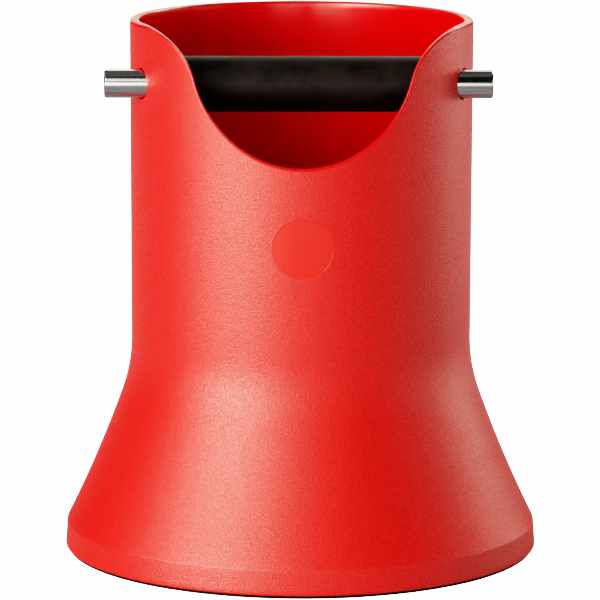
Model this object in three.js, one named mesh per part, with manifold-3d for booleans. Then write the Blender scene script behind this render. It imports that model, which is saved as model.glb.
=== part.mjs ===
// Espresso knock box: a bell-shaped bucket with a scooped mouth, crossed by a rubber-covered bar.
// Spent coffee is knocked out of a filter holder against the bar and falls into the bell.
//
// Frame: millimetres, +Z up, origin on the standing surface under the middle of the box.
// The bar lies along X and the scoop in the mouth faces -Y.

import * as THREE from 'three';
import { mergeVertices } from 'three/addons/utils/BufferGeometryUtils.js';
import Module from 'manifold-3d';

// Shell
const HEIGHT = 187.8; // rim above the standing surface
const RIM_RADIUS = 60; // outside of the barrel at the rim
const WALL = 3.3;
const RIM_ROUNDING = 0.9; // radius of both edges of the rim
const WAIST_RADIUS = 59.8; // outside of the barrel where the skirt begins
const WAIST_Z = 75.6;
const WAIST_ARC_RADIUS = 58.5; // tight sweep out of the upright barrel
const WAIST_ARC_TILT = 19.8; // degrees from upright where that sweep ends
const SKIRT_ARC_RADIUS = 434; // long, nearly straight sweep of the skirt
const SKIRT_TILT = 26.4; // degrees from upright at the skirt's lower edge
const BASE_RADIUS = 83.5; // outside of the upright band at its lower edge
const SHELL_FOOT_Z = 1; // the band stops this far above the standing surface
const BAND_CHAMFER = 0.6; // outside lower edge of the band
const SOCKET_RADIUS = 80; // inside of the band, which takes the floor plate
const SNAP_DEPTH = 0.5; // groove in the band for the floor plate's snap bead
const SNAP_Z = 3.9; // middle of that groove

// Scoop in the front of the mouth, as it is seen from the front
const SCOOP_RADIUS = 38;
const SCOOP_CENTRE_Z = HEIGHT - 6.8;
const SHOULDER_RADIUS = 22.7; // rounded shoulders that lead from the scoop up to the rim
const SHOULDER_DROP = 15.2; // middle of the shoulders below the middle of the scoop
const CUT_OVERRUN = 0.6; // the shoulders are followed this far above the rim

// Knock bar: a solid rod through both side walls, with a thick rubber sleeve between them
const BAR_Y = -22;
const BAR_Z = 167.4;
const ROD_RADIUS = 5;
const ROD_LENGTH = 134;
const ROD_SHIFT = -1.2; // the rod stands out a little more on the -X side
const ROD_CHAMFER = 0.5;
const SLEEVE_RADIUS = 9.6;
const SLEEVE_LENGTH = 92;
const SLEEVE_CHAMFER = 1;

// Floor plate, pressed up into the band from below
const FLOOR_TOP_Z = 7.9;
const FLOOR_THICKNESS = 2.6;
const FLOOR_BOSS_RADIUS = 70.1; // inside of the thicker ring round the plate's edge
const FLOOR_TOP_CHAMFER = 0.4;
const RIB_COUNT = 8;
const RIB_THICKNESS = 1.8;
const RIB_FOOT_Z = 2.4;
const HUB_RADIUS = 12;
const HUB_WALL = 2;

// Rubber ring that the box stands on, held by its tongue in a groove in the floor plate
const RING_OUTER_RADIUS = 82.6;
const RING_INNER_RADIUS = 70.4;
const RING_EDGE = 0.3;
const TONGUE_INNER_RADIUS = 72.4;
const TONGUE_OUTER_RADIUS = 76.4;
const TONGUE_TOP_Z = 4.7;

const CLEARANCE = 0.3; // between pieces that touch
const ROUND_SEGMENTS = 72; // for the box
const BAR_SEGMENTS = 32; // for the bar and its holes

const RED_PLASTIC = { color: 0xde281e, roughness: 0.5, metalness: 0 };
const BLACK_RUBBER = { color: 0x191617, roughness: 0.75, metalness: 0 };
const STEEL = { color: 0xc4c2c0, roughness: 0.28, metalness: 1 };

const wasm = await Module();
wasm.setup();

// ---- geometry helpers ----

// Points [a, b] on an arc about [centreA, centreB]. Angles are in degrees, anticlockwise.
function arc(centreA, centreB, radius, fromDegrees, toDegrees, steps) {
  return Array.from({ length: steps + 1 }, (_, i) => {
    const angle = THREE.MathUtils.degToRad(fromDegrees + ((toDegrees - fromDegrees) * i) / steps);
    return [centreA + radius * Math.cos(angle), centreB + radius * Math.sin(angle)];
  });
}

// A solid turned about the Z axis from [radius, z] points listed anticlockwise.
// The outline closes on itself, or starts and ends on the axis.
function turned(outline, segments) {
  const onAxis = outline[0][0] === 0;
  const closed = onAxis ? outline : [...outline, outline[0]];
  const points = closed.map(([radius, z]) => new THREE.Vector2(radius, z));
  const geometry = new THREE.LatheGeometry(points, segments);
  geometry.rotateX(Math.PI / 2);
  return geometry;
}

// The geometry as a solid that can be joined and cut.
function toSolid(geometry) {
  const bare = geometry.clone();
  bare.deleteAttribute('normal');
  bare.deleteAttribute('uv');
  const merged = mergeVertices(bare, 1e-4);
  const corners = merged.index.array;
  const kept = [];
  for (let i = 0; i < corners.length; i += 3) {
    const [a, b, c] = corners.slice(i, i + 3);
    if (a !== b && b !== c && c !== a) {
      kept.push(a, b, c);
    }
  }
  return new wasm.Manifold(
    new wasm.Mesh({
      numProp: 3,
      vertProperties: new Float32Array(merged.attributes.position.array),
      triVerts: new Uint32Array(kept),
    }),
  );
}

// The solid as a geometry that can be shown.
function toGeometry(solid) {
  const mesh = solid.getMesh();
  const geometry = new THREE.BufferGeometry();
  geometry.setAttribute('position', new THREE.BufferAttribute(mesh.vertProperties, 3));
  geometry.setIndex(new THREE.BufferAttribute(mesh.triVerts, 1));
  geometry.computeVertexNormals();
  return geometry;
}

function namedMesh(name, geometry, look) {
  const mesh = new THREE.Mesh(geometry, new THREE.MeshStandardMaterial(look));
  mesh.name = name;
  return mesh;
}

// ---- shell ----

// The swept part of the wall, from the waist down to the band, at a depth below the outer skin.
// Both arcs are centred outside the bell, so a deeper layer has the larger arc radius.
function sweptWall(depth) {
  const waistArc = WAIST_ARC_RADIUS + depth;
  const waistCentre = WAIST_RADIUS + WAIST_ARC_RADIUS;
  const waist = arc(waistCentre, WAIST_Z, waistArc, 180, 180 + WAIST_ARC_TILT, 6);

  const turn = THREE.MathUtils.degToRad(WAIST_ARC_TILT);
  const shift = SKIRT_ARC_RADIUS - WAIST_ARC_RADIUS;
  const skirtCentre = waistCentre + shift * Math.cos(turn);
  const skirtCentreZ = WAIST_Z + shift * Math.sin(turn);
  const skirtArc = SKIRT_ARC_RADIUS + depth;
  const skirt = arc(skirtCentre, skirtCentreZ, skirtArc, 180 + WAIST_ARC_TILT, 180 + SKIRT_TILT, 4);
  return [...waist, ...skirt.slice(1)];
}

function shellOutline() {
  const rimInside = RIM_RADIUS - WALL;
  const rimCentreZ = HEIGHT - RIM_ROUNDING;
  const snapOpening = SNAP_DEPTH + 0.5;
  return [
    [BASE_RADIUS - BAND_CHAMFER, SHELL_FOOT_Z],
    [BASE_RADIUS, SHELL_FOOT_Z + BAND_CHAMFER],
    ...sweptWall(0).reverse(),
    ...arc(RIM_RADIUS - RIM_ROUNDING, rimCentreZ, RIM_ROUNDING, 0, 90, 3),
    ...arc(rimInside + RIM_ROUNDING, rimCentreZ, RIM_ROUNDING, 90, 180, 3),
    ...sweptWall(WALL),
    [SOCKET_RADIUS, SNAP_Z + snapOpening],
    [SOCKET_RADIUS + SNAP_DEPTH, SNAP_Z + snapOpening - SNAP_DEPTH],
    [SOCKET_RADIUS + SNAP_DEPTH, SNAP_Z - snapOpening + SNAP_DEPTH],
    [SOCKET_RADIUS, SNAP_Z - snapOpening],
    [SOCKET_RADIUS, SHELL_FOOT_Z],
  ];
}

// A straight cut from the front to the middle of the box. Its outline is a round bottom that
// turns, at a common tangent on each side, into a rounded shoulder and runs out over the rim.
function scoopCutter() {
  const reach = SCOOP_RADIUS + SHOULDER_RADIUS;
  const shoulderX = Math.sqrt(reach ** 2 - SHOULDER_DROP ** 2);
  const shoulderZ = SCOOP_CENTRE_Z - SHOULDER_DROP;
  const tangent = THREE.MathUtils.radToDeg(Math.asin(SHOULDER_DROP / reach));
  const cutTopZ = HEIGHT + CUT_OVERRUN;
  const runOut = THREE.MathUtils.radToDeg(Math.asin((cutTopZ - shoulderZ) / SHOULDER_RADIUS));

  const bottom = arc(0, SCOOP_CENTRE_Z, SCOOP_RADIUS, 180 + tangent, 360 - tangent, 24);
  const right = arc(shoulderX, shoulderZ, SHOULDER_RADIUS, 180 - tangent, 180 - runOut, 8);
  const left = right.map(([x, z]) => [-x, z]).reverse();
  const outline = [...left, ...bottom.slice(1, -1), ...right];
  const shape = new THREE.Shape(outline.map(([x, z]) => new THREE.Vector2(x, z)));

  const cutter = new THREE.ExtrudeGeometry(shape, { depth: RIM_RADIUS + 10, bevelEnabled: false });
  cutter.rotateX(Math.PI / 2);
  return cutter;
}

function rodHoleCutter() {
  const length = 2 * (RIM_RADIUS + 10);
  const radius = ROD_RADIUS + CLEARANCE;
  const cutter = new THREE.CylinderGeometry(radius, radius, length, BAR_SEGMENTS);
  cutter.rotateZ(Math.PI / 2);
  cutter.translate(0, BAR_Y, BAR_Z);
  return cutter;
}

function bodyShell() {
  const bell = toSolid(turned(shellOutline(), ROUND_SEGMENTS));
  const scooped = bell.subtract(toSolid(scoopCutter()));
  return toGeometry(scooped.subtract(toSolid(rodHoleCutter())));
}

// ---- base ----

// The plate's edge is a thicker ring with a snap bead outside and the tongue's groove below.
function floorOutline() {
  const edge = SOCKET_RADIUS - CLEARANCE;
  const beadHalf = SNAP_DEPTH + 0.3;
  const grooveTopZ = TONGUE_TOP_Z + CLEARANCE;
  return [
    [0, FLOOR_TOP_Z - FLOOR_THICKNESS],
    [FLOOR_BOSS_RADIUS, FLOOR_TOP_Z - FLOOR_THICKNESS],
    [FLOOR_BOSS_RADIUS, SHELL_FOOT_Z],
    [TONGUE_INNER_RADIUS - CLEARANCE, SHELL_FOOT_Z],
    [TONGUE_INNER_RADIUS - CLEARANCE, grooveTopZ],
    [TONGUE_OUTER_RADIUS + CLEARANCE, grooveTopZ],
    [TONGUE_OUTER_RADIUS + CLEARANCE, SHELL_FOOT_Z],
    [edge, SHELL_FOOT_Z],
    [edge, SNAP_Z - beadHalf],
    [edge + SNAP_DEPTH, SNAP_Z - beadHalf + SNAP_DEPTH],
    [edge + SNAP_DEPTH, SNAP_Z + beadHalf - SNAP_DEPTH],
    [edge, SNAP_Z + beadHalf],
    [edge, FLOOR_TOP_Z - FLOOR_TOP_CHAMFER],
    [edge - FLOOR_TOP_CHAMFER, FLOOR_TOP_Z],
    [0, FLOOR_TOP_Z],
  ];
}

// Radial ribs and a hub ring stiffen the underside of the plate.
function floorPlate() {
  const ribTopZ = FLOOR_TOP_Z - FLOOR_THICKNESS / 2;
  const hub = turned(
    [
      [HUB_RADIUS - HUB_WALL, RIB_FOOT_Z],
      [HUB_RADIUS, RIB_FOOT_Z],
      [HUB_RADIUS, ribTopZ],
      [HUB_RADIUS - HUB_WALL, ribTopZ],
    ],
    BAR_SEGMENTS,
  );
  let plate = toSolid(turned(floorOutline(), ROUND_SEGMENTS)).add(toSolid(hub));

  const ribStart = HUB_RADIUS - HUB_WALL / 2;
  const ribEnd = FLOOR_BOSS_RADIUS + 1;
  for (let i = 0; i < RIB_COUNT; i += 1) {
    const rib = new THREE.BoxGeometry(ribEnd - ribStart, RIB_THICKNESS, ribTopZ - RIB_FOOT_Z);
    rib.translate((ribStart + ribEnd) / 2, 0, (ribTopZ + RIB_FOOT_Z) / 2);
    rib.rotateZ(((i + 0.5) * 2 * Math.PI) / RIB_COUNT);
    plate = plate.add(toSolid(rib));
  }
  return toGeometry(plate);
}

function footRing() {
  const flangeTopZ = SHELL_FOOT_Z - CLEARANCE;
  const outline = [
    [RING_INNER_RADIUS, 0],
    [RING_OUTER_RADIUS - RING_EDGE, 0],
    [RING_OUTER_RADIUS, RING_EDGE],
    [RING_OUTER_RADIUS, flangeTopZ],
    [TONGUE_OUTER_RADIUS, flangeTopZ],
    [TONGUE_OUTER_RADIUS, TONGUE_TOP_Z],
    [TONGUE_INNER_RADIUS, TONGUE_TOP_Z],
    [TONGUE_INNER_RADIUS, flangeTopZ],
    [RING_INNER_RADIUS, flangeTopZ],
  ];
  return turned(outline, ROUND_SEGMENTS);
}

// ---- knock bar, made along Z and laid along X by its group ----

function knockRod() {
  const end = ROD_LENGTH / 2;
  const outline = [
    [0, -end],
    [ROD_RADIUS - ROD_CHAMFER, -end],
    [ROD_RADIUS, ROD_CHAMFER - end],
    [ROD_RADIUS, end - ROD_CHAMFER],
    [ROD_RADIUS - ROD_CHAMFER, end],
    [0, end],
  ];
  return turned(outline, BAR_SEGMENTS);
}

function knockSleeve() {
  const end = SLEEVE_LENGTH / 2;
  const bore = ROD_RADIUS + CLEARANCE;
  const outline = [
    [bore, -end],
    [SLEEVE_RADIUS - SLEEVE_CHAMFER, -end],
    [SLEEVE_RADIUS, SLEEVE_CHAMFER - end],
    [SLEEVE_RADIUS, end - SLEEVE_CHAMFER],
    [SLEEVE_RADIUS - SLEEVE_CHAMFER, end],
    [bore, end],
  ];
  return turned(outline, BAR_SEGMENTS);
}

function knockBar() {
  const rod = namedMesh('knock_rod', knockRod(), STEEL);
  rod.position.z = ROD_SHIFT;
  const bar = new THREE.Group();
  bar.add(rod, namedMesh('knock_sleeve', knockSleeve(), BLACK_RUBBER));
  bar.rotation.y = Math.PI / 2;
  bar.position.set(0, BAR_Y, BAR_Z);
  return bar;
}

const group = new THREE.Group();
group.add(
  namedMesh('body_shell', bodyShell(), RED_PLASTIC),
  namedMesh('floor_plate', floorPlate(), RED_PLASTIC),
  namedMesh('foot_ring', footRing(), BLACK_RUBBER),
  knockBar(),
);

export default group;
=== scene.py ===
"""Espresso knock box: a red moulded bell with a scooped mouth, crossed by a rubber-sleeved bar."""

import math

import bmesh
import bpy
import numpy as np
from mathutils import Matrix, Vector


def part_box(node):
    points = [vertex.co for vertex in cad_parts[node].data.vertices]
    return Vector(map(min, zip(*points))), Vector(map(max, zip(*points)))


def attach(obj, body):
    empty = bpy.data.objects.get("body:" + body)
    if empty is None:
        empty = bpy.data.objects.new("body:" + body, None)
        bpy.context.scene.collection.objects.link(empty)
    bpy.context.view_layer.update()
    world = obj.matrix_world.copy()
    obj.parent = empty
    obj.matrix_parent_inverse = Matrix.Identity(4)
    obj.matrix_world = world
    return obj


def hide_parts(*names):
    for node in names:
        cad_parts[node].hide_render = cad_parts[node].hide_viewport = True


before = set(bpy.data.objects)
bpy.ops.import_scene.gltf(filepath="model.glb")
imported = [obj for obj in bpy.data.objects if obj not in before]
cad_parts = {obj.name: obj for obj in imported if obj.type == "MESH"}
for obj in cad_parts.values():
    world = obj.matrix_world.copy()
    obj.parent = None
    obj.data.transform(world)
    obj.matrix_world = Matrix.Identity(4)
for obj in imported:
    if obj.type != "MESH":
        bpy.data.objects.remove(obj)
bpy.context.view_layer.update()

MM = 0.001

# ---- sizes read from the frame, in metres ----

shell_low, shell_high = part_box("body_shell")
floor_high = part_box("floor_plate")[1]
ring_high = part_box("foot_ring")[1]
rod_low, rod_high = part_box("knock_rod")
sleeve_low, sleeve_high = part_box("knock_sleeve")

RIM_Z = shell_high.z
SHELL_FOOT_Z = shell_low.z
BASE_RADIUS = shell_high.x
ROD_RADIUS = (rod_high.z - rod_low.z) / 2
SLEEVE_RADIUS = (sleeve_high.z - sleeve_low.z) / 2
BAR_Y = (rod_low.y + rod_high.y) / 2
BAR_Z = (rod_low.z + rod_high.z) / 2
RING_RADIUS = ring_high.x
TONGUE_TOP_Z = ring_high.z
FLOOR_TOP_Z = floor_high.z

# ---- sizes of the pieces that the frame's boxes don't give ----

CLEARANCE = 0.3 * MM

WALL = 3.3 * MM
RIM_RADIUS = 60 * MM
WAIST_RADIUS = 59.8 * MM
WAIST_Z = 75.6 * MM
WAIST_ARC_RADIUS = 58.5 * MM
WAIST_ARC_TILT = 19.8  # the tilts are in degrees from upright
SKIRT_ARC_RADIUS = 434 * MM
SKIRT_TILT = 26.4
SOCKET_RADIUS = 80 * MM
SNAP_DEPTH = 0.5 * MM
SNAP_Z = 3.9 * MM
SNAP_GROOVE_HALF = 1 * MM
SNAP_BEAD_HALF = 0.8 * MM
LIP_ROUNDING = 0.9 * MM
BAND_TOP_ROUNDING = 0.4 * MM
BAND_FOOT_ROUNDING = 0.6 * MM
SOCKET_ROUNDING = 0.3 * MM

SCOOP_RADIUS = 38 * MM
SCOOP_CENTRE_Z = RIM_Z - 6.8 * MM
SHOULDER_RADIUS = 22.7 * MM
SHOULDER_DROP = 15.2 * MM
SHOULDER_EASE = 0.12 * MM
SHOULDER_OVERRUN = 0.25 * MM

HOLE_RADIUS = ROD_RADIUS + CLEARANCE
HOLE_ROUNDING = 0.35 * MM

ROD_CHAMFER = 0.5 * MM
ROD_EDGE_BREAK = 0.12 * MM
ROD_RING_PITCH = 0.22 * MM
SLEEVE_ROUNDING = 1 * MM

FLOOR_THICKNESS = 2.6 * MM
FLOOR_BOSS_RADIUS = 70.1 * MM
RIB_COUNT = 8
RIB_THICKNESS = 1.8 * MM
RIB_DRAFT = 0.05 * MM
RIB_MARGIN = 1.6 * MM  # how far the close columns reach beyond each face of a rib
RIB_FOOT_Z = 2.4 * MM
RIB_ROUNDING = 0.35 * MM
HUB_RADIUS = 12 * MM
HUB_WALL = 2 * MM

RING_INNER_RADIUS = 70.4 * MM
RING_ROUNDING = 0.3 * MM
TONGUE_INNER_RADIUS = 72.4 * MM
TONGUE_OUTER_RADIUS = 76.4 * MM

SPOT_Z = 115.6 * MM
SPOT_RADIUS = 10.4 * MM

# ---- how finely the pieces are divided ----

JOIN_Z = 130 * MM  # below this height the bell is a plain turned shape
HALF_COLUMNS = 150  # from the middle of the scoop round to the middle of the back
UPPER_ROWS = 40
ARC_ROWS = 14
BAND_ROWS = 4
SCOOP_POINTS = 200  # the mouth's edge is worked out finely, then spread over the columns
SHOULDER_POINTS = 120
RIM_POINTS = 300
LIP_STEPS = 7
PATCH_HALF = 6  # grid steps from the middle of the patch round a hole to its sides
HOLE_SKIN_RINGS = 5
HOLE_BORE_RINGS = 3
COLUMNS_BETWEEN_RIBS = 8
FOOT_COLUMNS = 240
SLEEVE_COLUMNS = 128
SLEEVE_END_STEPS = 7
ROD_COLUMNS = 96
ROD_END_STEPS = 4

WELD_REACH = 0.0005 * MM
SLIVER_LENGTH = 0.0001 * MM


# ---- outlines and grids ----


def arc(centre_a, centre_b, radius, start, end, count):
    """Evenly spaced points [a, b] on a circle, from one angle to another, in degrees."""
    angle = np.radians(np.linspace(start, end, count))
    return np.column_stack([centre_a + radius * np.cos(angle), centre_b + radius * np.sin(angle)])


def corner(before, tip, after, steps=5):
    """A rounded corner: the curve that leaves before and reaches after, bent round tip.

    Each point is the mean of the three, with weights (1-t)^2, 1.41 t(1-t) and t^2, which is a true
    arc where the two sides are equal and square.
    """
    t = np.linspace(0, 1, steps).reshape((-1,) + (1,) * before.ndim)
    first, middle, last = (1 - t) ** 2, math.sqrt(2) * t * (1 - t), t**2
    return (first * before + middle * tip + last * after) / (first + middle + last)


def rounded(outline, radius, steps=5, closed=True):
    """An outline whose corners are rounded off over a distance, or 0.45 of a side that is too short."""
    points = np.asarray(outline, float)
    run = np.roll(points, -1, axis=0) - points
    length = np.linalg.norm(run, axis=1, keepdims=True)
    ahead = run / length
    behind = np.roll(ahead, 1, axis=0)
    reach = np.minimum(radius, 0.45 * np.minimum(length, np.roll(length, 1, axis=0)))
    bends = corner(points - behind * reach, points, points + ahead * reach, steps).transpose(1, 0, 2)
    if closed:
        return bends.reshape(-1, 2)
    return np.vstack([points[:1], bends[1:-1].reshape(-1, 2), points[-1:]])


def grid_faces(rows, columns, wrap_rows=False, wrap_columns=False):
    """The four-sided faces of a grid of rows x columns points, as an array of point numbers."""
    number = np.arange(rows * columns).reshape(rows, columns)
    if wrap_rows:
        number = np.vstack([number, number[:1]])
    if wrap_columns:
        number = np.hstack([number, number[:, :1]])
    quads = [number[:-1, :-1], number[:-1, 1:], number[1:, 1:], number[1:, :-1]]
    return np.stack([q.ravel() for q in quads], axis=1)


def turned(outline, angle):
    """Points of an outline [radius, z] turned about Z to the given angles: one row per outline point."""
    radius, z = outline[:, :1], outline[:, 1:]
    x, y = radius * np.sin(angle), -radius * np.cos(angle)
    return np.stack([x, y, np.broadcast_to(z, x.shape)], axis=2)


def full_circle(columns):
    """Evenly spaced angles once round."""
    return np.linspace(0, 2 * np.pi, columns, endpoint=False)


def laid_along_x(points, centre):
    """Points made round the Z axis, turned so that Z becomes X, and set on a centre."""
    return np.stack([points[..., 2], points[..., 1], -points[..., 0]], axis=-1) + np.asarray(centre)


def enclosed_volume(points, faces):
    """Volume inside closed four-sided faces: a sum of the pyramids from the origin to each half."""
    a, b, c, d = (points[faces[:, i]] for i in range(4))
    halves = np.einsum("ij,ij->i", a, np.cross(b, c)) + np.einsum("ij,ij->i", a, np.cross(c, d))
    return halves.sum() / 6


def make_piece(name, points, faces, material, body, node, attributes=()):
    """A smooth closed mesh from arrays: faces turned outwards, doubled points welded."""
    points = points.reshape(-1, 3)
    if enclosed_volume(points, faces) < 0:
        faces = faces[:, ::-1]
    mesh = bpy.data.meshes.new(name)
    mesh.from_pydata(points.tolist(), [], faces.tolist())
    for key, values in attributes:
        layer = mesh.attributes.new(key, "FLOAT", "POINT")
        layer.data.foreach_set("value", np.asarray(values, np.float32).ravel())
    worked = bmesh.new()
    worked.from_mesh(mesh)
    bmesh.ops.remove_doubles(worked, verts=worked.verts, dist=WELD_REACH)
    bmesh.ops.dissolve_degenerate(worked, edges=worked.edges, dist=SLIVER_LENGTH)
    worked.to_mesh(mesh)
    worked.free()
    mesh.polygons.foreach_set("use_smooth", [True] * len(mesh.polygons))
    mesh.materials.append(material)
    piece = bpy.data.objects.new(name, mesh)
    bpy.context.scene.collection.objects.link(piece)
    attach(piece, body)
    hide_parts(node)
    return piece


# ---- the bell ----


def barrel_radius(z):
    """Outside radius of the barrel: it widens evenly from the waist to the rim."""
    return WAIST_RADIUS + (RIM_RADIUS - WAIST_RADIUS) * (z - WAIST_Z) / (RIM_Z - WAIST_Z)


def swept_wall(depth):
    """The wall from the waist down to the band, at a depth below the skin: two arcs, end to end.

    Both arcs are centred outside the bell and share a tangent where they meet.
    """
    waist_centre = WAIST_RADIUS + WAIST_ARC_RADIUS
    turn, shift = math.radians(WAIST_ARC_TILT), SKIRT_ARC_RADIUS - WAIST_ARC_RADIUS
    waist_end, skirt_end = 180 + WAIST_ARC_TILT, 180 + SKIRT_TILT
    waist = arc(waist_centre, WAIST_Z, WAIST_ARC_RADIUS + depth, 180, waist_end, ARC_ROWS)
    skirt_centre = waist_centre + shift * math.cos(turn)
    skirt_z = WAIST_Z + shift * math.sin(turn)
    skirt = arc(skirt_centre, skirt_z, SKIRT_ARC_RADIUS + depth, waist_end, skirt_end, ARC_ROWS)
    return np.vstack([waist, skirt[1:]])


def lower_wall(depth):
    """The wall's section from JOIN_Z down to the band, at a depth below the skin."""
    straight = np.linspace(JOIN_Z, WAIST_Z, ARC_ROWS)[:-1]
    return np.vstack([np.column_stack([barrel_radius(straight) - depth, straight]), swept_wall(depth)])


def outer_section():
    """The outside of the bell's section below JOIN_Z, down over the upright band to its foot."""
    wall = lower_wall(0)
    edge, foot = wall[-1], np.array([BASE_RADIUS, SHELL_FOOT_Z])
    down, along = unit(foot - edge), unit(edge - wall[-2])
    inward = np.array([-1.0, 0.0])
    crease = corner(edge - along * BAND_TOP_ROUNDING, edge, edge + down * BAND_TOP_ROUNDING)
    base = corner(foot - down * BAND_FOOT_ROUNDING, foot, foot + inward * BAND_FOOT_ROUNDING)
    band = crease[-1] + (base[0] - crease[-1]) * np.linspace(0, 1, BAND_ROWS + 2)[1:-1, None]
    return np.vstack([wall[:-1], crease, band, base])


def inner_section():
    """The inside of the bell's section from its foot, over the snap groove, up to JOIN_Z."""
    sole = np.array([SOCKET_RADIUS, SHELL_FOOT_Z])
    sole_edge = corner(sole + [SOCKET_ROUNDING, 0], sole, sole + [0, SOCKET_ROUNDING], 3)
    groove = [
        [SOCKET_RADIUS, SNAP_Z - SNAP_GROOVE_HALF],
        [SOCKET_RADIUS + SNAP_DEPTH, SNAP_Z - SNAP_GROOVE_HALF + SNAP_DEPTH],
        [SOCKET_RADIUS + SNAP_DEPTH, SNAP_Z + SNAP_GROOVE_HALF - SNAP_DEPTH],
        [SOCKET_RADIUS, SNAP_Z + SNAP_GROOVE_HALF],
    ]
    return np.vstack([sole_edge, groove, lower_wall(WALL)[::-1]])


def mouth_edge():
    """Half of the mouth's edge, evenly spaced from the middle of the scoop to the middle of the back.

    Seen from the front it is an arc that turns into a rounded shoulder, which eases into the level
    rim as H - k log(1 + exp((H - z) / k)). The cut runs straight back through the wall, so the
    inner edge has the same x as the outer one until the rim is reached. Returns the two edges'
    angles from the front and their height.
    """
    reach = SCOOP_RADIUS + SHOULDER_RADIUS
    shoulder_x = math.sqrt(reach**2 - SHOULDER_DROP**2)
    shoulder_z = SCOOP_CENTRE_Z - SHOULDER_DROP
    tangent = math.degrees(math.asin(SHOULDER_DROP / reach))
    run_out = math.degrees(math.asin((RIM_Z + SHOULDER_OVERRUN - shoulder_z) / SHOULDER_RADIUS))
    bottom = arc(0, SCOOP_CENTRE_Z, SCOOP_RADIUS, -90, -tangent, SCOOP_POINTS)
    first, last = 180 - tangent, 180 - run_out
    shoulder = arc(shoulder_x, shoulder_z, SHOULDER_RADIUS, first, last, SHOULDER_POINTS)
    x, z = np.vstack([bottom, shoulder[1:]]).T
    z = RIM_Z - SHOULDER_EASE * np.logaddexp(0, (RIM_Z - z) / SHOULDER_EASE)
    outer, inner = np.arcsin(x / RIM_RADIUS), np.arcsin(x / (RIM_RADIUS - WALL))
    share = np.linspace(0, 1, RIM_POINTS)[1:]
    outer = np.append(outer, outer[-1] + (np.pi - outer[-1]) * share)
    inner = np.append(inner, inner[-1] + (np.pi - inner[-1]) * share)
    z = np.append(z, np.full(share.shape, z[-1]))
    steps = np.hypot(np.diff(outer) * RIM_RADIUS, np.diff(z))
    length = np.append(0, np.cumsum(steps))
    even = np.linspace(0, length[-1], HALF_COLUMNS + 1)
    return [np.interp(even, length, values) for values in (outer, inner, z)]


def on_skin(angle, z, depth):
    """Points of the barrel at angles from the front and heights, at a depth below the skin."""
    radius = barrel_radius(z) - depth
    return np.stack([radius * np.sin(angle), -radius * np.cos(angle), z], axis=-1)


def unit(vectors):
    """Vectors divided by their own length."""
    return vectors / np.linalg.norm(vectors, axis=-1, keepdims=True)


def upper_skin(start, depth):
    """Rows from the lip down to JOIN_Z. Each column's angle slides smoothly to its even share."""
    angle = np.arctan2(start[:, 0], -start[:, 1])
    even = np.linspace(0, np.pi, HALF_COLUMNS + 1)
    s = np.linspace(0, 1, UPPER_ROWS + 1)[:, None]
    smooth = s * s * (3 - 2 * s)
    z = start[:, 2] + (JOIN_Z - start[:, 2]) * s
    return on_skin(angle + (even - angle) * smooth, z, depth)


def patch_loop(rows):
    """The rectangle of grid points round the rod's hole: their row and column numbers in order."""
    off = np.hypot(rows[..., 1] - BAR_Y, rows[..., 2] - BAR_Z)
    row, column = np.unravel_index(np.argmin(off), off.shape)
    across = np.arange(-PATCH_HALF, PATCH_HALF)
    edge = np.full(2 * PATCH_HALF, PATCH_HALF)
    loop_rows = row + np.concatenate([-edge, across, edge, -across])
    loop_columns = column + np.concatenate([across, edge, -across, -edge])
    return loop_rows, loop_columns


def inside_loop(face_row, face_column, loop_rows, loop_columns):
    """Which faces of the grid lie within a rectangular loop of its points."""
    rows = (face_row >= loop_rows.min()) & (face_row < loop_rows.max())
    return rows & (face_column >= loop_columns.min()) & (face_column < loop_columns.max())


def hole_rings(outer_loop, inner_loop):
    """The wall round the rod's hole: rings from the outer patch's edge, through the hole, to the inner.

    Seen along the rod, a ring on the skin lies between the patch's edge and the hole's circle.
    Both rims of the hole are rounded. Returns the rings and how many of them are on the outer skin.
    """

    def seen(loop):
        """The angles and distances of a loop's points from the rod's axis, seen along it."""
        offset = loop[:, 1:] - np.array([BAR_Y, BAR_Z])
        return np.arctan2(offset[:, 1], offset[:, 0]), np.linalg.norm(offset, axis=1)

    def skin(angle, radius, depth):
        """Points at angles and distances from the rod's axis, with x = sqrt(R^2 - y^2) on the wall."""
        y, z = BAR_Y + radius * np.cos(angle), BAR_Z + radius * np.sin(angle)
        x = np.sqrt((barrel_radius(z) - depth) ** 2 - y**2)
        return np.stack([x, y, z], axis=-1)

    outer_angle, outer_reach = seen(outer_loop)
    inner_angle, inner_reach = seen(inner_loop)
    turn = (inner_angle - outer_angle + np.pi) % (2 * np.pi) - np.pi
    shares = np.linspace(1, 0, HOLE_SKIN_RINGS + 1)[1:, None]
    wide = HOLE_RADIUS + HOLE_ROUNDING
    into = np.array([HOLE_ROUNDING, 0, 0])
    outside = skin(outer_angle, wide + (outer_reach - wide) * shares, 0)
    inside = skin(inner_angle, wide + (inner_reach - wide) * shares[::-1], WALL)
    outer_tip = skin(outer_angle, HOLE_RADIUS, 0)
    inner_tip = skin(inner_angle, HOLE_RADIUS, WALL)
    entry = corner(outside[-1], outer_tip, outer_tip - into)
    leaving = corner(inner_tip + into, inner_tip, inside[0])
    t = np.linspace(0, 1, HOLE_BORE_RINGS + 2)[1:-1, None]
    ends = outer_tip[:, 0] - HOLE_ROUNDING, inner_tip[:, 0] + HOLE_ROUNDING
    angle = outer_angle + turn * t
    bore_x = ends[0] + (ends[1] - ends[0]) * t
    bore_y, bore_z = BAR_Y + HOLE_RADIUS * np.cos(angle), BAR_Z + HOLE_RADIUS * np.sin(angle)
    bore = np.stack([bore_x, bore_y, bore_z], axis=-1)
    rings = [outer_loop[None], outside, entry[1:], bore, leaving, inside[1:], inner_loop[None]]
    return np.concatenate(rings), 1 + len(outside)


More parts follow.
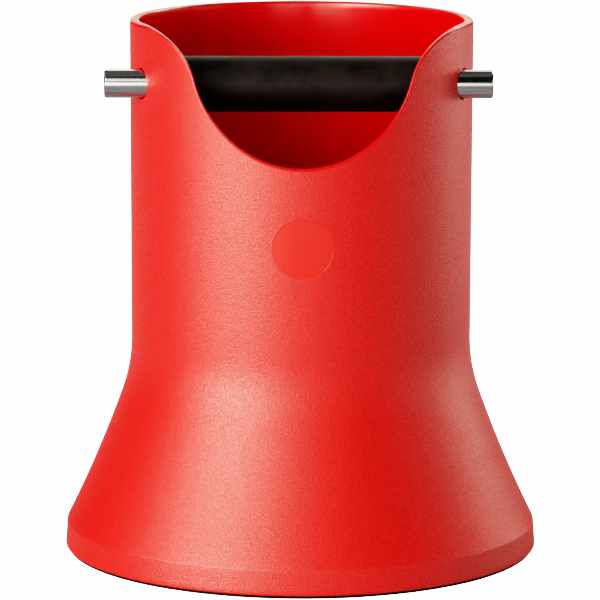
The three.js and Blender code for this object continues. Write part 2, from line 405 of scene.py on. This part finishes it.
def lip_corners(outer, inner):
    """The two rounded corners of the wall's top edge, as rows of points from the outside inwards.

    At each column the corner is bent round the sharp edge's point, between the skin below it and
    the cut face beside it, both square to the edge's own direction.
    """
    along, along_inside = unit(np.gradient(outer, axis=0)), unit(np.gradient(inner, axis=0))
    for line in (along, along_inside):
        line[[0, -1]] = [[1, 0, 0], [-1, 0, 0]]
    level = np.array([1.0, 1.0, 0.0])
    down = unit(np.cross(along, unit(outer * level)))
    down_inside = unit(np.cross(along_inside, unit(inner * level)))
    across = inner - outer
    face = unit(across - along * np.sum(across * along, axis=1, keepdims=True))
    below, beside = outer + down * LIP_ROUNDING, outer + face * LIP_ROUNDING
    outer_lip = corner(below, outer, beside, LIP_STEPS)
    beside, below = inner - face * LIP_ROUNDING, inner + down_inside * LIP_ROUNDING
    inner_lip = corner(beside, inner, below, LIP_STEPS)
    return outer_lip, inner_lip


def bell(material):
    """Half of the bell as one grid whose rows run round the wall's whole section, then its mirror.

    A patch of the grid round the rod's hole is left out, and rings through the wall fill it. The
    attribute grain is 1 on the skin that the mould's texture covers, and edge is 1 on the lip.
    """
    outer_angle, inner_angle, z = mouth_edge()
    outer_lip, inner_lip = lip_corners(on_skin(outer_angle, z, 0), on_skin(inner_angle, z, WALL))
    outer_rows = upper_skin(outer_lip[0], 0)
    inner_rows = upper_skin(inner_lip[-1], WALL)
    even = np.linspace(0, np.pi, HALF_COLUMNS + 1)
    bands = [
        (inner_rows[-2:0:-1], 0, 0),
        (inner_lip[::-1], 0, 1),
        (outer_lip[:0:-1], 0, 1),
        (outer_rows[:-1], 1, 0),
        (turned(outer_section(), even), 1, 0),
        (turned(inner_section(), even)[:-1], 0, 0),
        (inner_rows[-1:], 0, 0),
    ]
    rows = np.concatenate([points for points, _, _ in bands])
    grain = np.concatenate([np.full(points.shape[:2], value) for points, value, _ in bands])
    edge = np.concatenate([np.full(points.shape[:2], value) for points, _, value in bands])
    columns = rows.shape[1]
    faces = grid_faces(*rows.shape[:2], wrap_rows=True)

    outer_start = len(inner_rows) - 2 + len(inner_lip) + len(outer_lip) - 1
    outer_r, outer_c = patch_loop(outer_rows)
    inner_r, inner_c = patch_loop(inner_rows)
    rings, skin_rings = hole_rings(outer_rows[outer_r, outer_c], inner_rows[inner_r, inner_c])
    face_row, face_column = np.divmod(faces[:, 0], columns)
    in_outer = inside_loop(face_row, face_column, outer_r + outer_start, outer_c)
    in_inner = inside_loop(face_row, face_column, len(inner_rows) - 2 - inner_r, inner_c)
    kept = faces[~(in_outer | in_inner)]
    ring_faces = grid_faces(*rings.shape[:2], wrap_columns=True) + rows.shape[0] * columns
    ring_grain = np.zeros(rings.shape[:2])
    ring_grain[:skin_rings] = 1

    points = np.concatenate([rows.reshape(-1, 3), rings.reshape(-1, 3)])
    half = np.concatenate([kept, ring_faces])
    both_points = np.concatenate([points, points * [-1.0, 1.0, 1.0]])
    both_faces = np.concatenate([half, half[:, ::-1] + len(points)])
    attributes = [
        ("grain", np.tile(np.append(grain, ring_grain), 2)),
        ("edge", np.tile(np.append(edge, np.zeros(rings.shape[:2])), 2)),
    ]
    return make_piece(
        "bell", both_points, both_faces, material, "box", "body_shell", attributes
    )


# ---- the base ----


def rib_lines(radius):
    """Angles of the floor's columns at each radius, and how low each column's rib hangs.

    Beside each rib, columns keep a fixed distance d from its middle line, so their angle is
    arcsin(d / radius). The columns between two ribs share out the angle that is left.
    """
    half, root = RIB_THICKNESS / 2, FLOOR_TOP_Z - FLOOR_THICKNESS
    section = rounded(
        [[0, RIB_FOOT_Z], [half, RIB_FOOT_Z], [half + RIB_DRAFT, root], [half + RIB_MARGIN, root]],
        RIB_ROUNDING,
        closed=False,
    )
    both = np.vstack([section[:0:-1] * [-1, 1], section])
    beside = np.arcsin(both[:, 0] / np.clip(radius, HUB_RADIUS - HUB_WALL, FLOOR_BOSS_RADIUS)[:, None])
    sector = 2 * np.pi / RIB_COUNT
    share = np.linspace(0, 1, COLUMNS_BETWEEN_RIBS + 2)[1:-1]
    between = beside[:, -1:] + (sector + beside[:, :1] - beside[:, -1:]) * share
    one = np.hstack([beside, between])
    starts = (np.arange(RIB_COUNT) + 0.5) * sector
    angle = (starts[:, None, None] + one).transpose(1, 0, 2).reshape(len(radius), -1)
    low = np.tile(np.append(both[:, 1], np.full(len(share), root)), RIB_COUNT)
    return angle, low


def floor_plate(material):
    """A turned plate whose underside also carries ribs: its height is the lower of plate and rib."""
    root, edge = FLOOR_TOP_Z - FLOOR_THICKNESS, SOCKET_RADIUS - CLEARANCE
    hub_inside = HUB_RADIUS - HUB_WALL
    under = [
        [0, root],
        [hub_inside, root],
        [hub_inside, RIB_FOOT_Z],
        [HUB_RADIUS, RIB_FOOT_Z],
        [HUB_RADIUS, root],
        [FLOOR_BOSS_RADIUS / 2, root],
        [FLOOR_BOSS_RADIUS, root],
        [FLOOR_BOSS_RADIUS, SHELL_FOOT_Z],
        [TONGUE_INNER_RADIUS - CLEARANCE, SHELL_FOOT_Z],
    ]
    rest = [
        [TONGUE_INNER_RADIUS - CLEARANCE, TONGUE_TOP_Z + CLEARANCE],
        [TONGUE_OUTER_RADIUS + CLEARANCE, TONGUE_TOP_Z + CLEARANCE],
        [TONGUE_OUTER_RADIUS + CLEARANCE, SHELL_FOOT_Z],
        [edge, SHELL_FOOT_Z],
        [edge, SNAP_Z - SNAP_BEAD_HALF],
        [edge + SNAP_DEPTH, SNAP_Z - SNAP_BEAD_HALF + SNAP_DEPTH],
        [edge + SNAP_DEPTH, SNAP_Z + SNAP_BEAD_HALF - SNAP_DEPTH],
        [edge, SNAP_Z + SNAP_BEAD_HALF],
        [edge, FLOOR_TOP_Z],
        [0.75 * edge, FLOOR_TOP_Z],
        [0.5 * edge, FLOOR_TOP_Z],
        [0.25 * edge, FLOOR_TOP_Z],
        [0, FLOOR_TOP_Z],
    ]
    outline = rounded(under + rest, RIB_ROUNDING, closed=False)
    angle, low = rib_lines(outline[:, 0])
    points = turned(outline, angle)
    ribbed = np.zeros(len(outline), bool)
    ribbed[: np.argmax(outline[:, 0] > FLOOR_BOSS_RADIUS)] = True
    ribbed &= outline[:, 0] > HUB_RADIUS - HUB_WALL / 2
    points[ribbed, :, 2] = np.minimum(points[ribbed, :, 2], low)
    faces = grid_faces(*points.shape[:2], wrap_columns=True)
    return make_piece("floor", points, faces, material, "box", "floor_plate")


def foot_ring(material):
    """A flat ring with a tongue standing up from it, all its corners rounded, turned about Z."""
    flange = SHELL_FOOT_Z - CLEARANCE
    outline = rounded(
        [
            [RING_INNER_RADIUS, 0],
            [RING_RADIUS, 0],
            [RING_RADIUS, flange],
            [TONGUE_OUTER_RADIUS, flange],
            [TONGUE_OUTER_RADIUS, TONGUE_TOP_Z],
            [TONGUE_INNER_RADIUS, TONGUE_TOP_Z],
            [TONGUE_INNER_RADIUS, flange],
            [RING_INNER_RADIUS, flange],
        ],
        RING_ROUNDING,
    )
    points = turned(outline, full_circle(FOOT_COLUMNS))
    faces = grid_faces(*points.shape[:2], wrap_rows=True, wrap_columns=True)
    return make_piece("foot", points, faces, material, "box", "foot_ring")


# ---- the bar ----


def rubber_sleeve(material):
    """A thick tube with rounded ends, turned about the bar's axis."""
    end = (sleeve_high.x - sleeve_low.x) / 2
    bore = ROD_RADIUS + CLEARANCE
    section = [[bore, -end], [SLEEVE_RADIUS, -end], [SLEEVE_RADIUS, end], [bore, end]]
    outline = rounded(section, SLEEVE_ROUNDING, SLEEVE_END_STEPS)
    centre = [(sleeve_high.x + sleeve_low.x) / 2, BAR_Y, BAR_Z]
    points = laid_along_x(turned(outline, full_circle(SLEEVE_COLUMNS)), centre)
    faces = grid_faces(*points.shape[:2], wrap_rows=True, wrap_columns=True)
    return make_piece("sleeve", points, faces, material, "sleeve", "knock_sleeve")


def steel_rod(material):
    """A solid round bar whose ends are chamfered, with the chamfers' own edges just broken."""
    end = (rod_high.x - rod_low.x) / 2
    half = [[0, -end], [ROD_RADIUS - ROD_CHAMFER, -end], [ROD_RADIUS, ROD_CHAMFER - end]]
    whole = half + [[r, -z] for r, z in reversed(half)]
    outline = rounded(whole, ROD_EDGE_BREAK, ROD_END_STEPS, closed=False)
    centre = [(rod_high.x + rod_low.x) / 2, BAR_Y, BAR_Z]
    points = laid_along_x(turned(outline, full_circle(ROD_COLUMNS)), centre)
    faces = grid_faces(*points.shape[:2], wrap_columns=True)
    return make_piece("rod", points, faces, material, "rod", "knock_rod")


# ---- colours, in linear light ----

# The grain's two tones: darker pits as painted shade, lighter and pinker crests as painted highlight.
PIT_SHADE_RED = (0.70, 0.002, 0.002, 1)
CREST_HIGHLIGHT_RED = (1.0, 0.040, 0.034, 1)
INSIDE_RED = (0.84, 0.001, 0.009, 1)
SPOT_RED = (1.0, 0.035, 0.026, 1)
DEEP_RED = (0.3, 0.006, 0.006, 1)
# The lip's paler, pinker tone: partly rubbed wear, partly a painted highlight along the edge.
RUBBED_AND_HIGHLIGHT_RED = (0.84, 0.08, 0.06, 1)

FLOOR_DARK_RED = (0.66, 0.016, 0.002, 1)
FLOOR_RED = (0.78, 0.02, 0.0024, 1)
COFFEE_DUST = (0.3, 0.12, 0.06, 1)

FOOT_BLACK = (0.012, 0.011, 0.011, 1)
FOOT_GREY = (0.03, 0.028, 0.027, 1)

SLEEVE_BLACK = (0.009, 0.006, 0.007, 1)
SLEEVE_GREY = (0.030, 0.020, 0.021, 1)
# The pale brownish film on the sleeve's top: partly dust, partly a painted sheen.
SLEEVE_DUST_AND_SHEEN = (0.14, 0.11, 0.09, 1)

STEEL_DARK = (0.46, 0.46, 0.49, 1)
STEEL_LIGHT = (0.68, 0.68, 0.73, 1)
STEEL_SCRATCH = (0.78, 0.78, 0.84, 1)

WHITE = (1, 1, 1, 1)
TABLE_GREY = (0.25, 0.25, 0.25, 1)

# ---- the textures' sizes, in waves a metre, and their depths, in millimetres ----

SHELL_GRAIN_SCALE = 2400.0
SHELL_GRAIN_DEPTH = 0.15
FOOT_GRAIN_SCALE = 2200.0
FOOT_GRAIN_DEPTH = 0.05
SLEEVE_GRAIN_SCALE = 2600.0
SLEEVE_GRAIN_DEPTH = 0.012
SLEEVE_LINE_SCALE = 900.0
SLEEVE_LINE_DEPTH = 0.02
ROD_LINE_SCALE = 1600.0
ROD_LINE_DEPTH = 0.014
SCRATCH_DEPTH = 0.002
FLOOR_SCRATCH_DEPTH = 0.005
FLOOR_WAVE_DEPTH = 0.1
SCRATCH_TURNS = ((0.3, 0.5, 0.2), (1.2, 0.1, 1.5), (0.7, 1.4, 2.4))  # in radians


# ---- materials ----


def node(tree, kind, inputs=None, **settings):
    """Adds a node with its settings, its input values, and links where a value is a socket."""
    made = tree.nodes.new(kind)
    for key, value in settings.items():
        setattr(made, key, value)
    for key, value in (inputs or {}).items():
        if isinstance(value, bpy.types.NodeSocket):
            tree.links.new(value, made.inputs[key])
        else:
            made.inputs[key].default_value = value
    return made


def maths(tree, operation, *values):
    """The result of a sum on sockets or numbers."""
    return node(tree, "ShaderNodeMath", dict(enumerate(values)), operation=operation).outputs[0]


def weighted(tree, start, *terms):
    """A number plus some values, each times its own weight."""
    total = start
    for value, weight in terms:
        total = maths(tree, "MULTIPLY_ADD", value, weight, total)
    return total


def ramp(tree, value, start, end, low=0.0, high=1.0):
    """A value that goes smoothly from low to high while another goes from start to end."""
    inputs = {"Value": value, "From Min": start, "From Max": end, "To Min": low, "To Max": high}
    return node(tree, "ShaderNodeMapRange", inputs, interpolation_type="SMOOTHSTEP").outputs["Result"]


def between(tree, share, first, second):
    """A number between two numbers."""
    return node(tree, "ShaderNodeMix", {0: share, 2: first, 3: second}).outputs[0]


def blend(tree, share, first, second):
    """A colour between two colours."""
    return node(tree, "ShaderNodeMix", {0: share, 6: first, 7: second}, data_type="RGBA").outputs[2]


def noise(tree, where, scale, detail):
    """Smooth noise from 0 to 1, with a scale in waves a metre."""
    inputs = {"Vector": where, "Scale": scale, "Detail": detail}
    return node(tree, "ShaderNodeTexNoise", inputs).outputs["Fac"]


def drawn_out(tree, where, share, turn=(0, 0, 0)):
    """Places that move along X at only a share of the real rate, so that a pattern is long there."""
    inputs = {"Vector": where, "Rotation": turn, "Scale": (share, 1.0, 1.0)}
    return node(tree, "ShaderNodeMapping", inputs).outputs["Vector"]


def off_axis(tree, x, y):
    """How far a point (x, y) lies from an axis at (0, 0)."""
    flat = node(tree, "ShaderNodeCombineXYZ", {"X": x, "Y": y}).outputs["Vector"]
    return node(tree, "ShaderNodeVectorMath", {0: flat}, operation="LENGTH").outputs["Value"]


def effect(name, numbers, outputs):
    """An empty node group that takes Vector and some numbers. Returns it with its two ends."""
    group = bpy.data.node_groups.new(name, "ShaderNodeTree")
    group.interface.new_socket("Vector", in_out="INPUT", socket_type="NodeSocketVector")
    for key, value in numbers.items():
        socket = group.interface.new_socket(key, in_out="INPUT", socket_type="NodeSocketFloat")
        socket.default_value = value
    for key in outputs:
        group.interface.new_socket(key, in_out="OUTPUT", socket_type="NodeSocketFloat")
    return group, node(group, "NodeGroupInput").outputs, node(group, "NodeGroupOutput").inputs


def moulded_grain():
    """Spark-eroded texture: its height, and how far each spot is a crest."""
    numbers = {"Scale": SHELL_GRAIN_SCALE, "Mask": 1.0}
    group, given, result = effect("moulded_grain", numbers, ["Height", "Crest"])
    pits = noise(group, given["Vector"], given["Scale"], 1.0)
    group.links.new(maths(group, "MULTIPLY", pits, given["Mask"]), result["Height"])
    group.links.new(ramp(group, pits, 0.32, 0.68), result["Crest"])
    return group


def blotches():
    """Slow drifts of tone and gloss, from about -0.5 to 0.5, in two sizes."""
    group, given, result = effect("blotches", {"Scale": 30.0}, ["Value"])
    large = noise(group, given["Vector"], given["Scale"], 3.0)
    small = noise(group, given["Vector"], maths(group, "MULTIPLY", given["Scale"], 7.0), 3.0)
    group.links.new(weighted(group, -0.5, (large, 0.6), (small, 0.4)), result["Value"])
    return group


def hairlines():
    """Sparse fine scratches: three sets of long thin specks, each turned its own way."""
    group, given, result = effect("hairlines", {"Scale": 900.0, "Amount": 0.5}, ["Mask"])
    marks = 0.0
    for turn in SCRATCH_TURNS:
        specks = noise(group, drawn_out(group, given["Vector"], 0.02, turn), given["Scale"], 1.0)
        marks = maths(group, "MAXIMUM", marks, ramp(group, specks, 0.7, 0.78))
    group.links.new(maths(group, "MULTIPLY", marks, given["Amount"]), result["Mask"])
    return group


def settled_dust():
    """Fine specks and a thin film on what faces up. Up is the height of the surface's normal."""
    numbers = {"Up": 0.0, "Scale": 1500.0, "Amount": 0.5}
    group, given, result = effect("settled_dust", numbers, ["Mask"])
    specks = ramp(group, noise(group, given["Vector"], given["Scale"], 2.0), 0.55, 0.75)
    film = ramp(group, noise(group, given["Vector"], 60.0, 4.0), 0.35, 0.7)
    cover = maths(group, "MULTIPLY_ADD", film, 0.5, specks)
    facing = ramp(group, given["Up"], 0.1, 0.95)
    settled = maths(group, "MULTIPLY", maths(group, "MULTIPLY", cover, facing), given["Amount"])
    group.links.new(settled, result["Mask"])
    return group


GRAIN, BLOTCHES, HAIRLINES, DUST = moulded_grain(), blotches(), hairlines(), settled_dust()


def placed(tree, group, where, **numbers):
    """The outputs of an effect placed in a material with its own values."""
    return node(tree, "ShaderNodeGroup", {"Vector": where, **numbers}, node_tree=group).outputs


def new_material(name, **values):
    """A material with one Principled shader and its plain values, and where its surface is."""
    material = bpy.data.materials.new(name)
    material.use_nodes = True
    tree = material.node_tree
    shader = tree.nodes["Principled BSDF"]
    for key, value in values.items():
        shader.inputs[key.replace("_", " ")].default_value = value
    return material, tree, shader, node(tree, "ShaderNodeTexCoord").outputs


def finish_surface(tree, shader, colour, roughness, height_mm):
    """Links a surface's colour, roughness and relief, whose height is in millimetres."""
    bump = node(tree, "ShaderNodeBump", {"Height": height_mm, "Distance": MM, "Strength": 1.0})
    tree.links.new(colour, shader.inputs["Base Color"])
    tree.links.new(roughness, shader.inputs["Roughness"])
    tree.links.new(bump.outputs["Normal"], shader.inputs["Normal"])


def shell_plastic():
    """Red plastic: pitted outside but for a round spot, smooth and glossier on the lip and inside. The pits
    are painted darker as shade and the crests lighter as highlight, and the lip is painted pale, partly as
    wear and partly as highlight.
    """
    material, tree, shader, place = new_material("shell_plastic", IOR=1.6, Specular_IOR_Level=0.86)
    where = place["Object"]
    skin = node(tree, "ShaderNodeAttribute", attribute_name="grain").outputs["Fac"]
    lip = node(tree, "ShaderNodeAttribute", attribute_name="edge").outputs["Fac"]
    parts = node(tree, "ShaderNodeSeparateXYZ", {"Vector": where}).outputs
    reach = off_axis(tree, parts["X"], maths(tree, "SUBTRACT", parts["Z"], SPOT_Z))
    off_spot = ramp(tree, reach, SPOT_RADIUS - 0.3 * MM, SPOT_RADIUS + 0.1 * MM)
    behind = maths(tree, "GREATER_THAN", parts["Y"], 0.0)
    pitted = maths(tree, "MULTIPLY", skin, maths(tree, "MAXIMUM", off_spot, behind))

    drift = placed(tree, BLOTCHES, where, Scale=35.0)["Value"]
    inside_only = weighted(tree, 0.2, (skin, -0.2))
    scratches = placed(tree, HAIRLINES, where, Scale=1000.0, Amount=inside_only)["Mask"]
    grain = placed(tree, GRAIN, where, Scale=SHELL_GRAIN_SCALE, Mask=pitted)
    # The grain's colour: painted shade in its pits and painted highlight on its crests.
    pits = blend(tree, grain["Crest"], PIT_SHADE_RED, CREST_HIGHLIGHT_RED)
    even = blend(tree, pitted, blend(tree, skin, INSIDE_RED, SPOT_RED), pits)
    toned = blend(tree, ramp(tree, drift, -0.25, 0.25, 0.06, 0.0), even, DEEP_RED)
    # Paler lip: partly wear, partly painted highlight.
    wear_and_highlight = maths(tree, "MULTIPLY", lip, ramp(tree, drift, -0.1, 0.2, 0.05, 0.35))
    colour = blend(tree, wear_and_highlight, toned, RUBBED_AND_HIGHLIGHT_RED)

    crests = maths(tree, "MULTIPLY", pitted, grain["Crest"])
    roughness = weighted(
        tree, 0.18, (skin, 0.03), (lip, 0.1), (pitted, 0.29), (crests, -0.2), (drift, 0.08), (scratches, 0.12)
    )
    height = weighted(tree, 0.0, (grain["Height"], SHELL_GRAIN_DEPTH), (scratches, -SCRATCH_DEPTH))
    finish_surface(tree, shader, colour, roughness, height)
    return material


def floor_plastic():
    """The same red plastic, smooth, with hair scratches and a little dust on its upper face."""
    material, tree, shader, place = new_material("floor_plastic", Specular_IOR_Level=0.5)
    where = place["Object"]
    up = node(tree, "ShaderNodeSeparateXYZ", {"Vector": place["Normal"]}).outputs["Z"]
    drift = placed(tree, BLOTCHES, where, Scale=40.0)["Value"]
    scratches = placed(tree, HAIRLINES, where, Scale=900.0, Amount=0.8)["Mask"]
    dust = placed(tree, DUST, where, Up=up, Amount=0.12)["Mask"]
    even = blend(tree, ramp(tree, drift, -0.25, 0.25), FLOOR_DARK_RED, FLOOR_RED)
    colour = blend(tree, dust, even, COFFEE_DUST)
    roughness = weighted(tree, 0.33, (drift, 0.12), (scratches, 0.15))
    height = weighted(tree, 0.0, (drift, FLOOR_WAVE_DEPTH), (scratches, -FLOOR_SCRATCH_DEPTH))
    finish_surface(tree, shader, colour, roughness, height)
    return material


def foot_rubber():
    """Matt black rubber with a fine moulded texture, greyed in patches."""
    material, tree, shader, place = new_material("foot_rubber", Specular_IOR_Level=0.4)
    where = place["Object"]
    drift = placed(tree, BLOTCHES, where, Scale=60.0)["Value"]
    grain = placed(tree, GRAIN, where, Scale=FOOT_GRAIN_SCALE)["Height"]
    colour = blend(tree, ramp(tree, drift, 0.0, 0.3, 0.0, 0.5), FOOT_BLACK, FOOT_GREY)
    roughness = weighted(tree, 0.72, (drift, 0.2))
    finish_surface(tree, shader, colour, roughness, weighted(tree, 0.0, (grain, FOOT_GRAIN_DEPTH)))
    return material


def sleeve_rubber():
    """Satin black rubber: fine lines drawn along it, a cloudy gloss, and a trace of dust on top that is
    partly a painted sheen.
    """
    material, tree, shader, place = new_material("sleeve_rubber", Specular_IOR_Level=0.5)
    where = place["Object"]
    up = node(tree, "ShaderNodeSeparateXYZ", {"Vector": place["Normal"]}).outputs["Z"]
    drift = placed(tree, BLOTCHES, where, Scale=45.0)["Value"]
    lines = noise(tree, drawn_out(tree, where, 0.03), SLEEVE_LINE_SCALE, 3.0)
    grain = placed(tree, GRAIN, where, Scale=SLEEVE_GRAIN_SCALE)["Height"]
    # The dust on the sleeve's upper side also stands in for a painted sheen there.
    dust = placed(tree, DUST, where, Up=up, Scale=1800.0, Amount=0.3)["Mask"]
    even = blend(tree, ramp(tree, drift, -0.18, 0.2), SLEEVE_BLACK, SLEEVE_GREY)
    colour = blend(tree, dust, even, SLEEVE_DUST_AND_SHEEN)
    roughness = weighted(tree, 0.4, (drift, 0.4), (lines, 0.1), (dust, 0.4))
    height = weighted(tree, 0.0, (lines, SLEEVE_LINE_DEPTH), (grain, SLEEVE_GRAIN_DEPTH))
    finish_surface(tree, shader, colour, roughness, height)
    return material


def rod_steel():
    """Drawn stainless bar: long fine lines along its side, and turned rings on its ends.

    A ring's tone is the sine of its distance from the bar's axis.
    """
    material, tree, shader, place = new_material("rod_steel", Metallic=1.0)
    where = place["Object"]
    on_axis = node(tree, "ShaderNodeMapping", {"Vector": where, "Location": (0, -BAR_Y, -BAR_Z)})
    parts = node(tree, "ShaderNodeSeparateXYZ", {"Vector": on_axis.outputs["Vector"]}).outputs
    side = node(tree, "ShaderNodeSeparateXYZ", {"Vector": place["Normal"]}).outputs["X"]
    on_end = ramp(tree, maths(tree, "ABSOLUTE", side), 0.4, 0.6)

    along = noise(tree, drawn_out(tree, where, 0.02), ROD_LINE_SCALE, 4.0)
    reach = off_axis(tree, parts["Y"], parts["Z"])
    rings = maths(tree, "SINE", maths(tree, "MULTIPLY", reach, 2 * math.pi / ROD_RING_PITCH))
    lines = between(tree, on_end, along, maths(tree, "MULTIPLY", rings, 0.5))

    drift = placed(tree, BLOTCHES, where, Scale=90.0)["Value"]
    scratches = placed(tree, HAIRLINES, where, Scale=1400.0, Amount=0.6)["Mask"]
    even = blend(tree, ramp(tree, lines, 0.3, 0.7), STEEL_DARK, STEEL_LIGHT)
    colour = blend(tree, maths(tree, "MULTIPLY", scratches, 0.3), even, STEEL_SCRATCH)
    roughness = weighted(tree, 0.08, (lines, 0.2), (drift, 0.12), (scratches, 0.1))
    height = weighted(tree, 0.0, (lines, ROD_LINE_DEPTH), (scratches, -SCRATCH_DEPTH))
    finish_surface(tree, shader, colour, roughness, height)
    return material


# ---- stage ----

CAMERA_BACK = 1429.4 * MM
CAMERA_UP = 341.4 * MM
CAMERA_PITCH = 10.06  # the three turns are in degrees
CAMERA_ROLL = 0.155
CAMERA_YAW = -0.5775
CAMERA_LENS = 246.56  # on a sensor 36 mm wide
CAMERA_SENSOR = 36
CAMERA_SHIFT = -0.0016
CAMERA_NEAR = 0.05
CAMERA_FAR = 20

TONE_MIDDLE = 0.4  # the light value that is shown at half strength
TONE_STEEPNESS = 1.93
TONE_WHITE = 3.0
TONE_FIRST = 0.012  # the darkest light value with a point of its own on the curve
TONE_POINTS = 24

LIGHT_COLOUR = (1.0, 0.98, 0.85)
LIGHT_AIM_Z = 100 * MM

FLOOR_REACH = 4.0
FLOOR_GLOW_START = 0.1  # behind the middle of the box
FLOOR_GLOW_END = 0.6
FLOOR_GLOW_FRONT = 0.15
FLOOR_GLOW_BACK = 0.35
FLOOR_GLOW_SEEN = 2.6
ROOM_GLOW = 0.015
ROOM_GLOW_SEEN = 3.0


def make_camera():
    """A long lens in front of the box, tipped down to it, and turned a little about the box's axis."""
    camera = bpy.data.objects.new("camera", bpy.data.cameras.new("camera"))
    camera.data.lens = CAMERA_LENS
    camera.data.sensor_width = CAMERA_SENSOR
    camera.data.shift_x = CAMERA_SHIFT
    camera.data.clip_start, camera.data.clip_end = CAMERA_NEAR, CAMERA_FAR
    turn = Matrix.Rotation(math.radians(CAMERA_YAW), 4, "Z")
    place = Matrix.Translation((0, -CAMERA_BACK, CAMERA_UP))
    aim = Matrix.Rotation(math.radians(90 - CAMERA_PITCH), 4, "X")
    roll = Matrix.Rotation(math.radians(CAMERA_ROLL), 4, "Z")
    camera.matrix_world = turn @ place @ aim @ roll
    bpy.context.scene.collection.objects.link(camera)
    bpy.context.scene.camera = camera


def set_tone(view):
    """A film-like response, x^s / (x^s + m^s) scaled to reach 1 at white: deep darks, soft lights."""
    view.view_transform = "Standard"
    view.use_curve_mapping = True
    mapping = view.curve_mapping
    mapping.white_level = (TONE_WHITE,) * 3
    curve = mapping.curves[3]
    level = np.append(0, np.geomspace(TONE_FIRST, TONE_WHITE, TONE_POINTS))
    shown = level**TONE_STEEPNESS / (level**TONE_STEEPNESS + TONE_MIDDLE**TONE_STEEPNESS)
    shown /= shown[-1]
    curve.points[-1].location = (1, 1)
    for x, y in zip(level[1:-1], shown[1:-1]):
        curve.points.new(x / TONE_WHITE, y)
    for point in curve.points:
        point.handle_type = "AUTO_CLAMPED"
    mapping.update()


def soft_box(name, azimuth, elevation, power, width=0.6, height=0.6, distance=1.5):
    """A rectangular light that faces the box. Azimuth 0 is the camera's side, 90 is +X."""
    data = bpy.data.lights.new(name, "AREA")
    data.shape = "RECTANGLE"
    data.size, data.size_y = width, height
    data.energy = power
    data.color = LIGHT_COLOUR
    light = bpy.data.objects.new(name, data)
    a, e = math.radians(azimuth), math.radians(elevation)
    away = Vector((math.sin(a) * math.cos(e), -math.cos(a) * math.cos(e), math.sin(e)))
    light.location = Vector((0, 0, LIGHT_AIM_Z)) + away * distance
    light.rotation_mode = "QUATERNION"
    light.rotation_quaternion = away.to_track_quat("Z", "Y")
    bpy.context.scene.collection.objects.link(light)


def stage_floor():
    """A plain white table. It looks white, and its dim light is strongest behind the box."""
    mesh = bpy.data.meshes.new("studio_floor")
    corners = [(x * FLOOR_REACH, y * FLOOR_REACH, 0) for x, y in ((-1, -1), (1, -1), (1, 1), (-1, 1))]
    mesh.from_pydata(corners, [], [(0, 1, 2, 3)])
    material, tree, shader, place = new_material("studio_floor", Roughness=0.9, Specular_IOR_Level=0.0)
    shader.inputs["Base Color"].default_value = TABLE_GREY
    shader.inputs["Emission Color"].default_value = WHITE
    behind = node(tree, "ShaderNodeSeparateXYZ", {"Vector": place["Object"]}).outputs["Y"]
    glow = ramp(tree, behind, FLOOR_GLOW_START, FLOOR_GLOW_END, FLOOR_GLOW_FRONT, FLOOR_GLOW_BACK)
    seen = node(tree, "ShaderNodeLightPath").outputs["Is Camera Ray"]
    tree.links.new(between(tree, seen, glow, FLOOR_GLOW_SEEN), shader.inputs["Emission Strength"])
    mesh.materials.append(material)
    floor = bpy.data.objects.new("studio_floor", mesh)
    bpy.context.scene.collection.objects.link(floor)


def white_surround():
    """The room: white where it is seen, dim in what it lights."""
    world = bpy.data.worlds.new("studio")
    world.use_nodes = True
    tree = world.node_tree
    background = tree.nodes["Background"].inputs
    seen = node(tree, "ShaderNodeLightPath").outputs["Is Camera Ray"]
    tree.links.new(between(tree, seen, ROOM_GLOW, ROOM_GLOW_SEEN), background["Strength"])
    background["Color"].default_value = WHITE
    bpy.context.scene.world = world


def make_stage():
    """A pale floor, a white surround, and soft boxes: a broad key at the left, the rest round it."""
    set_tone(bpy.context.scene.view_settings)
    white_surround()
    stage_floor()
    soft_box("key_left", -60, 5, 5.8)
    soft_box("key_middle", -40, 5, 10.6)
    soft_box("key_right", -20, 5, 3.0)
    soft_box("key_top_left", -60, 35, 4.2)
    soft_box("key_top_middle", -40, 35, 4.4)
    soft_box("key_top_right", -20, 35, 1.2)
    soft_box("front_fill", 10, 5, 1.5)
    soft_box("right_fill", 85, 4, 2.9, width=1.3, height=0.7)
    soft_box("right_edge", 120, 0, 4.2)
    soft_box("back_right", 140, 35, 7.0)
    soft_box("back_left", -115, 35, 1.0)
    soft_box("backdrop", 180, 28, 6.6, width=1.2, height=1.6)
    soft_box("ceiling", 0, 88, 0.9, width=1.4, height=1.4)


make_camera()
make_stage()
bell(shell_plastic())
floor_plate(floor_plastic())
foot_ring(foot_rubber())
rubber_sleeve(sleeve_rubber())
steel_rod(rod_steel())
